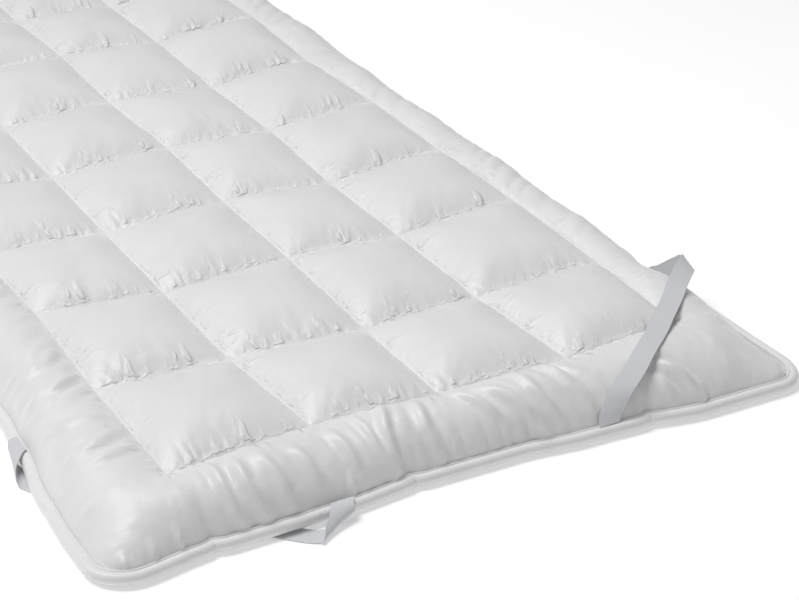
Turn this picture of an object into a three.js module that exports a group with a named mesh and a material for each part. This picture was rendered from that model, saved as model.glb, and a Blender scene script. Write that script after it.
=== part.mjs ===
// Quilted mattress protector for a single bed, lying flat, with piping and four corner straps.
// Millimetres. X runs across the pad, Y along it, Z up. The front edge is at the low end of Y.
// The origin is on the floor under the middle of the part.
import * as THREE from 'three';

// Driving dimensions
const CORNER_HALF_WIDTH = 455;
const CORNER_HALF_LENGTH = 1005;
const CORNER_RADIUS = 46;
const COLUMNS = 4;
const ROWS = 9;
const COLUMN_PITCH = 167;
const ROW_PITCH = 196.4;

const SEAM_HEIGHT = 46;
const SEAM_THICKNESS = 8;
const POCKET_CROWN = 20;
const BORDER_CREST = 61;
const BORDER_SWELL = 3;
const RIM_TOP = 13;
const RIM_BOTTOM = 6.5;

const PIPING_RADIUS = 6.5;
const PIPING_HEIGHT = 8.4;
const PIPING_SIDES = 10;
const PIECE_GAP = 0.3;

const STRAP_WIDTH = 25;
const STRAP_THICKNESS = 1.2;
const UNDER_STRAP_LIFT = 2.4;
// Distances from the strap's line within which the underside is fully lifted, and not at all
const LIFT_FULL = 55;
const LIFT_NONE = 100;
// Where the straps that pass under are sewn on, from the pad's middle, along the ends and sides
const STRAP_END_PLACE = 170;
const STRAP_SIDE_PLACE = 707;
const STRAP_STEP = 9;
const MOST_STEPS = 4;
// A slanted cut across a strap is wider than the strap, to this sine of its slant
const WIDEST_SLANT = 0.6;

// Where the grid lines lie across one pocket, and across the border from its seam to its rim
const POCKET_LINES = [0, 0.09, 0.3, 0.7, 0.91];
const BORDER_LINES = [0.16, 0.42, 0.68, 0.86, 1];
const FLAT_START = 0.3;
const CREST_AT = 0.42;
const FLAT_END = 0.68;
// How steeply the cloth rises from a seam: the power of the way left, then of the rise
const POCKET_CURVE = { way: 2.2, rise: 0.82 };
const CREST_CURVE = { way: 2.2, rise: 0.8 };
const UNDERSIDE_CURVE = { way: 2.4, rise: 0.7 };
const RIM_CURVE = { way: 2.1, rise: 0.75 };
const CORNER_DROP = { share: 0.3, from: 0.05, to: 0.8 };
const SWELL_END = 0.3;
const HOLLOW_FADE = 0.8;

// The sewn lines are uneven: sideways and lengthwise shift and lift of each column line
const COLUMN_SEAMS = [
  { shift: 4, back: -2, lift: 1 },
  { shift: 6, back: -3, lift: -1 },
  { shift: 7, back: -1, lift: 1 },
  { shift: 0, back: -4, lift: -2 },
  { shift: 5, back: 9, lift: 3 },
];
// Lengthwise shift and lift of each row line, from the front
const ROW_SEAMS = [
  { back: 4, lift: 2 },
  { back: -3, lift: -1 },
  { back: 1, lift: 1 },
  { back: -3, lift: 0 },
  { back: -5, lift: 1 },
  { back: -2, lift: -1 },
  { back: 7, lift: 1 },
  { back: 0, lift: -1 },
  { back: 3, lift: 1 },
  { back: -2, lift: 0 },
];
// Sideways and lengthwise shift of the crossings of the near seams: a list for each row line, from
// the front, with an entry for each column line
const CROSSING_SHIFTS = [
  [[-1.5, -11], [10, 11], [-3, 1], [10, 6], [-4, 2]],
  [[0, 8], [-3, 4], [-1, -11], [-1, 4], [4, -5]],
  [[6, 12], [-5, -10], [2, 1], [-3, -2], [6, 3]],
  [[0, 0], [-3, -5], [2, 4], [-4, -6], [4, 1]],
  [[0, 0], [-2, -7], [7, 7], [3, 2], [4, 4]],
  [[0, 0], [2, -7], [1, 5], [0, -3], [-3, 8]],
  [[0, 0], [0, 0], [5, 8], [2, -1], [5, 14]],
];
// Hollows pressed into the border by the strap that lies over it
const HOLLOWS = [
  { x: 415, y: -726, radius: 36, depth: 13 },
  { x: 408, y: -795, radius: 50, depth: 3 },
  { x: 408, y: -880, radius: 55, depth: 8 },
  { x: 402, y: -950, radius: 45, depth: 8 },
];

// How far each edge draws in from the corner's line, by place along the edge
const FRONT_EDGE = [
  { at: -410, drawIn: 0 },
  { at: -330, drawIn: 11 },
  { at: -226, drawIn: 12 },
  { at: -STRAP_END_PLACE, drawIn: 15 },
  { at: -75, drawIn: 23 },
  { at: 50, drawIn: 22 },
  { at: 140, drawIn: 13 },
  { at: 216, drawIn: 10 },
  { at: 290, drawIn: 0 },
  { at: 410, drawIn: 0 },
];
const BACK_EDGE = [
  { at: -410, drawIn: 0 },
  { at: -270, drawIn: 9 },
  { at: -STRAP_END_PLACE, drawIn: 15 },
  { at: -40, drawIn: 22 },
  { at: 80, drawIn: 20 },
  { at: STRAP_END_PLACE, drawIn: 15 },
  { at: 300, drawIn: 8 },
  { at: 410, drawIn: 0 },
];
const LEFT_EDGE = [
  { at: -900, drawIn: 0 },
  { at: -830, drawIn: 4 },
  { at: -STRAP_SIDE_PLACE, drawIn: 19 },
  { at: -640, drawIn: 25 },
  { at: -400, drawIn: 27 },
  { at: -100, drawIn: 24 },
  { at: 250, drawIn: 30 },
  { at: 600, drawIn: 25 },
  { at: STRAP_SIDE_PLACE, drawIn: 19 },
  { at: 820, drawIn: 10 },
  { at: 960, drawIn: 0 },
];
const RIGHT_EDGE = [
  { at: -960, drawIn: 11 },
  { at: -870, drawIn: 13 },
  { at: -760, drawIn: 15 },
  { at: -650, drawIn: 29 },
  { at: -480, drawIn: 31 },
  { at: -390, drawIn: 26 },
  { at: -100, drawIn: 32 },
  { at: 200, drawIn: 25 },
  { at: 600, drawIn: 27 },
  { at: STRAP_SIDE_PLACE, drawIn: 19 },
  { at: 820, drawIn: 8 },
  { at: 960, drawIn: 0 },
];

// A strap that passes under its corner, front left: from the front seam over the piping, down to
// the floor and under the pad, and up round the side piping. Turn is the direction of its width.
const UNDER_STRAP = [
  { x: -168, y: -979.3, z: 15.8, turn: 180 },
  { x: -172, y: -987, z: 17.6, turn: 181 },
  { x: -177, y: -996, z: 16, turn: 186 },
  { x: -183, y: -1003.5, z: 12, turn: 196 },
  { x: -190.5, y: -1009, z: 7.3, turn: 208 },
  { x: -198, y: -1012, z: 3.4, turn: 218 },
  { x: -206, y: -1011.5, z: 1.3, turn: 225 },
  { x: -220, y: -1004, z: 0.8, turn: 226 },
  { x: -245, y: -979, z: 0.8, turn: 226 },
  { x: -322, y: -899, z: 0.8, turn: 226 },
  { x: -402, y: -816, z: 0.8, turn: 226 },
  { x: -429, y: -787, z: 0.8, turn: 227 },
  { x: -436.5, y: -773, z: 0.8, turn: 231 },
  { x: -442, y: -761, z: 0.9, turn: 238 },
  { x: -445.3, y: -750, z: 3, turn: 247 },
  { x: -447, y: -740.5, z: 7.4, turn: 254 },
  { x: -445.5, y: -730, z: 12.6, turn: 260 },
  { x: -440, y: -719, z: 16.6, turn: 266 },
  { x: -433, y: -711, z: 17.5, turn: 269 },
  { x: -425.5, y: -704.5, z: 15.9, turn: 270 },
];
// The front right strap lies over its corner. Rise is the tilt of its width, and the stations
// without z lie on the pad.
const OVER_STRAP = [
  { x: 168, y: -984.5, z: 15.3, turn: 180, rise: 0 },
  { x: 171, y: -980, z: 21.5, turn: 176, rise: 0 },
  { x: 180, y: -974, turn: 165, rise: 0 },
  { x: 195, y: -966, turn: 150, rise: 0 },
  { x: 221, y: -952, turn: 140, rise: 0 },
  { x: 251, y: -930, turn: 134, rise: 0 },
  { x: 286, y: -900, turn: 132, rise: 0 },
  { x: 323, y: -864, turn: 130, rise: 0 },
  { x: 360, y: -828, turn: 129, rise: 2 },
  { x: 392, y: -797, turn: 126, rise: 8 },
  { x: 416, y: -774, z: 60.5, turn: 116, rise: 20 },
  { x: 434, y: -755.5, z: 55.5, turn: 101, rise: 30 },
  { x: 436.5, y: -752.5, z: 53.5, turn: 98, rise: 31 },
  { x: 436.5, y: -750.5, z: 51.5, turn: 97, rise: 31 },
  { x: 434.5, y: -747, z: 50, turn: 96, rise: 30 },
  { x: 431, y: -731, z: 38, turn: 94, rise: 20 },
  { x: 428.5, y: -715, z: 25, turn: 92, rise: 8 },
  { x: 427, y: -704, z: 18, turn: 91, rise: 1 },
  { x: 426, y: -699, z: 15.8, turn: 90, rise: 0 },
];
const OVER_STRAP_CLEAR = 2.6;

const FINISHES = {
  satin: { color: 0xdedede, roughness: 0.55 },
  piping: { color: 0xd8d6d3, roughness: 0.5 },
  elastic: { color: 0xc3c7cf, roughness: 0.8 },
};

function clamp(value, low, high) {
  return Math.min(Math.max(value, low), high);
}

function lerp(a, b, t) {
  return a + (b - a) * t;
}

function smoothStep(low, high, value) {
  const t = clamp((value - low) / (high - low), 0, 1);
  return t * t * (3 - 2 * t);
}

// From 0 to 1, steep at first and level at the end
function swellCurve(t, curve) {
  return Math.pow(1 - Math.pow(1 - t, curve.way), curve.rise);
}

// Smooth step between the rows of an edge table
function drawInAt(table, at) {
  const last = table.length - 1;
  if (at <= table[0].at) {
    return table[0].drawIn;
  }
  if (at >= table[last].at) {
    return table[last].drawIn;
  }
  let k = 0;
  while (at > table[k + 1].at) {
    k += 1;
  }
  const t = (at - table[k].at) / (table[k + 1].at - table[k].at);
  return lerp(table[k].drawIn, table[k + 1].drawIn, t * t * (3 - 2 * t));
}

// The rim of the pad lies inside the piping
const RIM_INSET = 2 * PIPING_RADIUS + PIECE_GAP;

function crossingShift(i, j) {
  return j < CROSSING_SHIFTS.length ? CROSSING_SHIFTS[j][i] : [0, 0];
}

// A place on the pad is given by a across and b along: whole numbers are sewn lines, and the
// border runs from 0 to -1 and from the last line to one more.
function seamPlace(a, b) {
  const i = clamp(Math.floor(a), 0, COLUMNS - 1);
  const j = clamp(Math.floor(b), 0, ROWS - 1);
  const u = a - i;
  const v = b - j;
  const shift = lerp(COLUMN_SEAMS[i].shift, COLUMN_SEAMS[i + 1].shift, u);
  const columnBack = lerp(COLUMN_SEAMS[i].back, COLUMN_SEAMS[i + 1].back, u);
  const columnLift = lerp(COLUMN_SEAMS[i].lift, COLUMN_SEAMS[i + 1].lift, u);
  const rowBack = lerp(ROW_SEAMS[j].back, ROW_SEAMS[j + 1].back, v);
  const rowLift = lerp(ROW_SEAMS[j].lift, ROW_SEAMS[j + 1].lift, v);
  const [side, back] = [0, 1].map((k) => {
    const near = lerp(crossingShift(i, j)[k], crossingShift(i + 1, j)[k], u);
    const far = lerp(crossingShift(i, j + 1)[k], crossingShift(i + 1, j + 1)[k], u);
    return lerp(near, far, v);
  });
  return new THREE.Vector3(
    (a - COLUMNS / 2) * COLUMN_PITCH + shift + side,
    (b - ROWS / 2) * ROW_PITCH + columnBack + rowBack + back,
    SEAM_HEIGHT + columnLift + rowLift,
  );
}

// Square corner of the border made round: p and q run from 0 at the seam to 1 at the rim
function roundCorner(p, q, start) {
  if (p <= start || q <= start) {
    return [p, q];
  }
  const s = (p - start) / (1 - start);
  const t = (q - start) / (1 - start);
  return [
    start + (1 - start) * s * Math.sqrt(1 - (t * t) / 2),
    start + (1 - start) * t * Math.sqrt(1 - (s * s) / 2),
  ];
}

// Plan position, seam height and how far out into the border a place is, sideways and lengthwise
function padPlace(a, b) {
  const seam = seamPlace(clamp(a, 0, COLUMNS), clamp(b, 0, ROWS));
  const sideA = a < 0 ? -1 : 1;
  const sideB = b < 0 ? -1 : 1;
  const p = Math.max(-a, a - COLUMNS, 0);
  const q = Math.max(-b, b - ROWS, 0);
  const nominalX = seam.x + sideA * p * (CORNER_HALF_WIDTH - RIM_INSET - Math.abs(seam.x));
  const nominalY = seam.y + sideB * q * (CORNER_HALF_LENGTH - RIM_INSET - Math.abs(seam.y));
  const sideTable = sideA < 0 ? LEFT_EDGE : RIGHT_EDGE;
  const endTable = sideB < 0 ? FRONT_EDGE : BACK_EDGE;
  const rimX = CORNER_HALF_WIDTH - RIM_INSET - drawInAt(sideTable, nominalY);
  const rimY = CORNER_HALF_LENGTH - RIM_INSET - drawInAt(endTable, nominalX);
  const spanX = rimX - Math.abs(seam.x);
  const spanY = rimY - Math.abs(seam.y);
  const start = 1 - (CORNER_RADIUS - RIM_INSET) / Math.min(spanX, spanY);
  const [roundP, roundQ] = roundCorner(p, q, start);
  return {
    x: seam.x + sideA * roundP * spanX,
    y: seam.y + sideB * roundQ * spanY,
    seamZ: seam.z,
    p,
    q,
  };
}

// Rise from a sewn line (0) to a pocket's flat top (1)
function pocketRise(t) {
  return swellCurve(clamp(Math.min(t, 1 - t) / FLAT_START, 0, 1), POCKET_CURVE);
}

// 1 from the seam to the border's crest, falling to 0 at its rim
function rimFall(outward) {
  const outer = clamp((outward - CREST_AT) / (1 - CREST_AT), 0, 1);
  return Math.pow(1 - Math.pow(outer, RIM_CURVE.way), RIM_CURVE.rise);
}

function borderTop(p, q, seamZ, crest) {
  const inner = clamp(Math.hypot(p, q) / CREST_AT, 0, 1);
  const ridge = lerp(seamZ, crest, swellCurve(inner, CREST_CURVE));
  const lowered = 1 - CORNER_DROP.share * smoothStep(CORNER_DROP.from, CORNER_DROP.to, Math.sqrt(p * q));
  return RIM_TOP + (ridge - RIM_TOP) * rimFall(p) * rimFall(q) * lowered;
}

function borderBottom(outward, seamZ) {
  if (outward <= CREST_AT) {
    return (seamZ - SEAM_THICKNESS) * (1 - swellCurve(outward / CREST_AT, UNDERSIDE_CURVE));
  }
  const t = clamp((outward - FLAT_END) / (1 - FLAT_END), 0, 1);
  return RIM_BOTTOM * t * t;
}

function hollowDepth(x, y) {
  return HOLLOWS.reduce((sum, hollow) => {
    const away = Math.hypot(x - hollow.x, y - hollow.y) / hollow.radius;
    return sum + hollow.depth * Math.exp(-away * away);
  }, 0);
}

// The underside stands off the floor only over a strap that passes under a corner
function strapLift(x, y) {
  if (x > 0 && y < 0) {
    return 0;
  }
  const flat = UNDER_STRAP.filter((station) => station.z < 1);
  const from = flat[0];
  const to = flat[flat.length - 1];
  const run = new THREE.Vector2(to.x - from.x, to.y - from.y).normalize();
  const place = new THREE.Vector2(-Math.abs(x) - from.x, -Math.abs(y) - from.y);
  const away = Math.abs(run.cross(place));
  return UNDER_STRAP_LIFT * clamp((LIFT_NONE - away) / (LIFT_NONE - LIFT_FULL), 0, 1);
}

function padHeights(a, b) {
  const place = padPlace(a, b);
  const { x, y, seamZ, p, q } = place;
  const outward = Math.max(p, q);
  let top;
  let bottom;
  if (outward > 0) {
    const along = p > q ? b : a;
    const straight = 1 - smoothStep(0, SWELL_END, Math.sqrt(p * q));
    const swell = BORDER_SWELL * (1 - 2 * Math.abs(Math.cos(Math.PI * along))) * straight;
    const fade = 1 - smoothStep(HOLLOW_FADE, 1, outward);
    top = borderTop(p, q, seamZ, BORDER_CREST + swell) - hollowDepth(x, y) * fade;
    bottom = borderBottom(outward, seamZ);
  } else {
    const rise = pocketRise(a - Math.floor(a)) * pocketRise(b - Math.floor(b));
    top = seamZ + POCKET_CROWN * rise;
    bottom = (seamZ - SEAM_THICKNESS) * (1 - rise);
  }
  return { x, y, top, bottom: Math.max(bottom, strapLift(x, y)) };
}

function gridLines(count) {
  const lines = [...BORDER_LINES].reverse().map((t) => -t);
  for (let k = 0; k < count; k += 1) {
    POCKET_LINES.forEach((t) => lines.push(k + t));
  }
  lines.push(count);
  BORDER_LINES.forEach((t) => lines.push(count + t));
  return lines;
}

// One filled solid: a top and a bottom sheet of grid points, joined round the rim
function quiltedPad() {
  const across = gridLines(COLUMNS);
  const along = gridLines(ROWS);
  const positions = [];
  const indices = [];
  const layer = across.length * along.length;
  for (const side of ['top', 'bottom']) {
    for (const b of along) {
      for (const a of across) {
        const point = padHeights(a, b);
        positions.push(point.x, point.y, point[side]);
      }
    }
  }
  const at = (i, j) => j * across.length + i;
  const quad = (p, q, r, s) => indices.push(p, q, r, p, r, s);
  for (let j = 0; j + 1 < along.length; j += 1) {
    for (let i = 0; i + 1 < across.length; i += 1) {
      quad(at(i, j), at(i + 1, j), at(i + 1, j + 1), at(i, j + 1));
      quad(layer + at(i, j), layer + at(i, j + 1), layer + at(i + 1, j + 1), layer + at(i + 1, j));
    }
  }
  const rim = rimLoop(across.length, along.length).map(([i, j]) => at(i, j));
  rim.forEach((p, k) => {
    const q = rim[(k + 1) % rim.length];
    quad(layer + p, layer + q, q, p);
  });
  const geometry = new THREE.BufferGeometry();
  geometry.setAttribute('position', new THREE.Float32BufferAttribute(positions, 3));
  geometry.setIndex(indices);
  geometry.computeVertexNormals();
  return geometry;
}

// Grid indices round the edge, anticlockwise from above
function rimLoop(width, length) {
  const loop = [];
  for (let i = 0; i < width - 1; i += 1) {
    loop.push([i, 0]);
  }
  for (let j = 0; j < length - 1; j += 1) {
    loop.push([width - 1, j]);
  }
  for (let i = width - 1; i > 0; i -= 1) {
    loop.push([i, length - 1]);
  }
  for (let j = length - 1; j > 0; j -= 1) {
    loop.push([0, j]);
  }
  return loop;
}

// The rim of the pad as a closed run of plan points
function rimOutline() {
  const across = gridLines(COLUMNS);
  const along = gridLines(ROWS);
  return rimLoop(across.length, along.length).map(([i, j]) => {
    const place = padPlace(across[i], along[j]);
    return new THREE.Vector2(place.x, place.y);
  });
}

// Sideways normal of a closed run of plan points at point k, pointing out
function outwardNormal(points, k) {
  const before = points[(k + points.length - 1) % points.length];
  const after = points[(k + 1) % points.length];
  const tangent = after.clone().sub(before).normalize();
  return new THREE.Vector2(tangent.y, -tangent.x);
}

// A round cord in its cover, sewn all round the rim
function edgePiping() {
  const rim = rimOutline();
  const positions = [];
  const indices = [];
  rim.forEach((point, k) => {
    const normal = outwardNormal(rim, k);
    for (let s = 0; s < PIPING_SIDES; s += 1) {
      const angle = (2 * Math.PI * s) / PIPING_SIDES;
      const out = PIPING_RADIUS + PIECE_GAP + PIPING_RADIUS * Math.cos(angle);
      positions.push(
        point.x + normal.x * out,
        point.y + normal.y * out,
        PIPING_HEIGHT + PIPING_RADIUS * Math.sin(angle),
      );
    }
  });
  rim.forEach((point, k) => {
    const next = (k + 1) % rim.length;
    for (let s = 0; s < PIPING_SIDES; s += 1) {
      const t = (s + 1) % PIPING_SIDES;
      const p = k * PIPING_SIDES + s;
      const q = next * PIPING_SIDES + s;
      const r = next * PIPING_SIDES + t;
      const u = k * PIPING_SIDES + t;
      indices.push(p, q, r, p, r, u);
    }
  });
  const geometry = new THREE.BufferGeometry();
  geometry.setAttribute('position', new THREE.Float32BufferAttribute(positions, 3));
  geometry.setIndex(indices);
  geometry.computeVertexNormals();
  return geometry;
}

// Height of a strap's middle line where it lies on the pad, over the highest point within its width
function lyingHeight(pad, x, y) {
  const ray = new THREE.Raycaster();
  const down = new THREE.Vector3(0, 0, -1);
  const above = 200;
  let highest = 0;
  for (const dx of [-0.5, 0, 0.5]) {
    for (const dy of [-0.5, 0, 0.5]) {
      ray.set(new THREE.Vector3(x + dx * STRAP_WIDTH, y + dy * STRAP_WIDTH, above), down);
      const hit = ray.intersectObject(pad)[0];
      highest = Math.max(highest, hit ? hit.point.z : 0);
    }
  }
  return highest + STRAP_THICKNESS / 2 + OVER_STRAP_CLEAR;
}

function widthDirection(station) {
  const turn = THREE.MathUtils.degToRad(station.turn);
  const rise = THREE.MathUtils.degToRad(station.rise ?? 0);
  return new THREE.Vector3(
    Math.cos(turn) * Math.cos(rise),
    Math.sin(turn) * Math.cos(rise),
    Math.sin(rise),
  );
}

// A flat strap as a thin closed solid along its stations
function strap(stations, pad) {
  const places = stations.map(({ x, y, z }) => new THREE.Vector3(x, y, z ?? lyingHeight(pad, x, y)));
  const curve = new THREE.CatmullRomCurve3(places, false, 'centripetal');
  const last = stations.length - 1;
  const sections = [];
  for (let k = 0; k < last; k += 1) {
    const gap = places[k].distanceTo(places[k + 1]);
    const steps = clamp(Math.round(gap / STRAP_STEP), 1, MOST_STEPS);
    const count = k === last - 1 ? steps + 1 : steps;
    for (let n = 0; n < count; n += 1) {
      const t = n / steps;
      const point = curve.getPoint((k + t) / last);
      if (stations[k].z === undefined && stations[k + 1].z === undefined) {
        point.z = Math.max(point.z, lyingHeight(pad, point.x, point.y));
      }
      const width = widthDirection(stations[k]).lerp(widthDirection(stations[k + 1]), t).normalize();
      sections.push({ point, width });
    }
  }
  sections.forEach((section, k) => {
    const before = sections[Math.max(k - 1, 0)].point;
    const after = sections[Math.min(k + 1, sections.length - 1)].point;
    const slant = after.clone().sub(before).normalize().cross(section.width);
    section.spread = STRAP_WIDTH / Math.max(slant.length(), WIDEST_SLANT);
    section.normal = slant.normalize();
  });
  return ribbonSolid(sections);
}

function ribbonSolid(sections) {
  const corners = [[-0.5, -0.5], [0.5, -0.5], [0.5, 0.5], [-0.5, 0.5]];
  const positions = [];
  const indices = [];
  for (const { point, width, normal, spread } of sections) {
    for (const [across, through] of corners) {
      const place = point.clone()
        .addScaledVector(width, across * spread)
        .addScaledVector(normal, through * STRAP_THICKNESS);
      positions.push(place.x, place.y, place.z);
    }
  }
  const count = corners.length;
  for (let k = 0; k + 1 < sections.length; k += 1) {
    for (let c = 0; c < count; c += 1) {
      const d = (c + 1) % count;
      const p = k * count + c;
      const q = k * count + d;
      const r = (k + 1) * count + d;
      const s = (k + 1) * count + c;
      indices.push(p, r, q, p, s, r);
    }
  }
  const end = (sections.length - 1) * count;
  indices.push(0, 1, 2, 0, 2, 3);
  indices.push(end, end + 2, end + 1, end, end + 3, end + 2);
  const geometry = new THREE.BufferGeometry();
  geometry.setAttribute('position', new THREE.Float32BufferAttribute(positions, 3));
  geometry.setIndex(indices);
  faceOutwards(geometry);
  geometry.computeVertexNormals();
  return geometry;
}

// Turns the faces round where they enclose a negative volume
function faceOutwards(geometry) {
  const place = geometry.getAttribute('position');
  const index = geometry.getIndex();
  const corner = [new THREE.Vector3(), new THREE.Vector3(), new THREE.Vector3()];
  let volume = 0;
  for (let k = 0; k < index.count; k += 3) {
    corner.forEach((point, c) => point.fromBufferAttribute(place, index.getX(k + c)));
    volume += corner[0].dot(corner[1].clone().cross(corner[2]));
  }
  if (volume < 0) {
    for (let k = 0; k < index.count; k += 3) {
      const second = index.getX(k + 1);
      index.setX(k + 1, index.getX(k + 2));
      index.setX(k + 2, second);
    }
  }
}

// The same strap at another corner
function mirrored(stations, signX, signY) {
  return stations.map((station) => {
    const turn = THREE.MathUtils.degToRad(station.turn);
    const turned = Math.atan2(signY * Math.sin(turn), signX * Math.cos(turn));
    return {
      x: signX * station.x,
      y: signY * station.y,
      z: station.z,
      turn: THREE.MathUtils.radToDeg(turned),
    };
  });
}

function piece(name, geometry, finish) {
  const material = new THREE.MeshStandardMaterial({ ...finish, metalness: 0 });
  const mesh = new THREE.Mesh(geometry, material);
  mesh.name = name;
  return mesh;
}

const part = new THREE.Group();
const pad = piece('quilted_pad', quiltedPad(), FINISHES.satin);
part.add(pad);
part.add(piece('edge_piping', edgePiping(), FINISHES.piping));
const straps = {
  corner_strap_front_left: UNDER_STRAP,
  corner_strap_front_right: OVER_STRAP,
  corner_strap_back_left: mirrored(UNDER_STRAP, 1, -1),
  corner_strap_back_right: mirrored(UNDER_STRAP, -1, -1),
};
for (const [name, stations] of Object.entries(straps)) {
  part.add(piece(name, strap(stations, pad), FINISHES.elastic));
}

export default part;
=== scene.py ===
"""Quilted mattress protector: satin pad with a plain border, piped edge and elastic corner straps.

Laid out as a Blender add-on. Run as a script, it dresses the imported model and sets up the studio.
"""
import math

import bpy
import numpy as np
from bpy.props import FloatProperty, FloatVectorProperty, IntProperty, PointerProperty
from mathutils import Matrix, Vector
from mathutils.bvhtree import BVHTree


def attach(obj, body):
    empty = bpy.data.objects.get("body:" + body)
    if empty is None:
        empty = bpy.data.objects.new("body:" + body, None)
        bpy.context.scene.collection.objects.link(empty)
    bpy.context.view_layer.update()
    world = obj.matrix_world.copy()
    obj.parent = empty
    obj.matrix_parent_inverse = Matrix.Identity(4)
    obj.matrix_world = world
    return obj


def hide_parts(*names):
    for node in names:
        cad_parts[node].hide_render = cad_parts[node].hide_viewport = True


bl_info = {
    "name": "Quilted mattress protector",
    "version": (1, 0, 0),
    "blender": (4, 5, 0),
    "location": "View3D > Sidebar > Bedding",
    "description": "Builds a quilted mattress protector with piping and corner straps",
    "category": "Mesh",
}

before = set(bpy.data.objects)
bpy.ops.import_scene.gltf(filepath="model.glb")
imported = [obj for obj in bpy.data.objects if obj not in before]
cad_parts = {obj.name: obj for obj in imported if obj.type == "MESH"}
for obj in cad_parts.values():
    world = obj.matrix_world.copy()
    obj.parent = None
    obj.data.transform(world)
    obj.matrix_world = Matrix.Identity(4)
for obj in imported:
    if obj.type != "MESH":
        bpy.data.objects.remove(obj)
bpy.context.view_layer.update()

MM = 0.001

# The pad's plan, in millimetres, the same as the solids have
CORNER_HALF_WIDTH = 455.0
CORNER_HALF_LENGTH = 1005.0
CORNER_RADIUS = 46.0
COLUMNS = 4
ROWS = 9
COLUMN_PITCH = 167.0
ROW_PITCH = 196.4
SEAM_HEIGHT = 46.0
SEAM_THICKNESS = 8.0
BORDER_SWELL = 3.0
RIM_TOP = 13.0
RIM_BOTTOM = 6.5
PIPING_RADIUS = 6.5
PIPING_HEIGHT = 8.4
PIPING_WAVE = 0.5
PIECE_GAP = 0.3
RIM_INSET = 2 * PIPING_RADIUS + PIECE_GAP
USUAL_DRAW_IN = 20
BORDER_WIDTH = CORNER_HALF_WIDTH - RIM_INSET - COLUMNS / 2 * COLUMN_PITCH - USUAL_DRAW_IN
FLAT_START = 0.3
CREST_AT = 0.42
RIM_RISE_START = 0.68
RIM_RISE_SPAN = 0.32
UNDER_STRAP_LIFT = 2.4
LIFT_REACH = 100
LIFT_FADE = 45
WIDEST_SLANT = 0.6
CORNER_DROP = 0.3
CORNER_DROP_SPAN = (0.05, 0.8)
# How round each rise is, at its top and at its foot
POCKET_ROUND = (2.2, 0.82)
CREST_ROUND = (2.2, 0.8)
RIM_ROUND = (2.1, 0.75)
UNDERSIDE_ROUND = (2.4, 0.7)

# Sideways shift, lengthwise shift and lift of each column line
COLUMN_SEAMS = np.array([(4, -2, 1), (6, -3, -1), (7, -1, 1), (0, -4, -2), (5, 9, 3)], float)
# Lengthwise shift and lift of each row line, from the front
ROW_SEAMS = np.array(
    [(4, 2), (-3, -1), (1, 1), (-3, 0), (-5, 1), (-2, -1), (7, 1), (0, -1), (3, 1), (-2, 0)], float
)
# Sideways and lengthwise shift of each crossing of the near seams, row by row from the front
CROSSING_SHIFTS = np.zeros((ROWS + 1, COLUMNS + 1, 2))
CROSSING_SHIFTS[:7] = [
    [(-1.5, -11), (10, 11), (-3, 1), (10, 6), (-4, 2)],
    [(0, 8), (-3, 4), (-1, -11), (-1, 4), (4, -5)],
    [(6, 12), (-5, -10), (2, 1), (-3, -2), (6, 3)],
    [(0, 0), (-3, -5), (2, 4), (-4, -6), (4, 1)],
    [(0, 0), (-2, -7), (7, 7), (3, 2), (4, 4)],
    [(0, 0), (2, -7), (1, 5), (0, -3), (-3, 8)],
    [(0, 0), (0, 0), (5, 8), (2, -1), (5, 14)],
]
# Place along the edge, and how far the edge draws in there
FRONT_EDGE = np.array(
    [(-410, 0), (-330, 11), (-226, 12), (-170, 15), (-75, 23), (50, 22), (140, 13), (216, 10),
     (290, 0), (410, 0)], float
)
BACK_EDGE = np.array(
    [(-410, 0), (-270, 9), (-170, 15), (-40, 22), (80, 20), (170, 15), (300, 8), (410, 0)], float
)
LEFT_EDGE = np.array(
    [(-900, 0), (-830, 4), (-707, 19), (-640, 25), (-400, 27), (-100, 24), (250, 30), (600, 25),
     (707, 19), (820, 10), (960, 0)], float
)
RIGHT_EDGE = np.array(
    [(-960, 11), (-870, 13), (-760, 15), (-650, 29), (-480, 31), (-390, 26), (-100, 32), (200, 25),
     (600, 27), (707, 19), (820, 8), (960, 0)], float
)

# Grid cells in one pocket, across and along, and over the border from its seam to its rim
POCKET_CELLS = (60, 40)
BORDER_CELLS = 52
UNDERSIDE_STEP = 4
PROFILE_SAMPLES = 4001
# Steps of the rim line over the border at a corner and over one pocket
CORNER_STEPS = 24
POCKET_STEPS = 32
SEWN_RIM = 0.97
PIPING_STEP = 5.0
STRAP_STEP = 3
STRAP_CELLS = 10

# How far from a seam the cloth is gathered, the most it may move, and its first unevenness
SLACK_REACH = 38
BORDER_SLACK = 0.5
MOST_SWELL = 9
FIRST_WRINKLES = 0.8
CLOTH_VALUES = {
    "vertex_group_mass": "held", "vertex_group_shrink": "slack", "shrink_min": 0, "quality": 4,
    "mass": 0.1, "bending_model": "LINEAR", "tension_stiffness": 30, "compression_stiffness": 30,
    "shear_stiffness": 5, "bending_stiffness": 0.02, "air_damping": 5, "use_pressure": True,
    "uniform_pressure_force": 6,
}
# Scatters the values of the random field
SCATTER = (127.1, 311.7, 74.7, 43758.5453)
# Shifts that keep one seam's puckers unlike the next one's
ROW_SHIFT = 53
COLUMN_SHIFT = 37
LOOSE = 0.8
# A distance where no seam or rim is near
FAR = 1000.0
# Creases of the satin: spacing, reach, noise where they start and are full, clumps and height
SEAM_CREASES = ((0.0085, 0.024, 0.44, 0.70, 0.030, 0.0040), (0.0045, 0.014, 0.40, 0.70, 0.021, 0.0006))
RIM_CREASES = (0.0110, 0.022, 0.45, 0.72, 0.045, 0.0014)

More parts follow.
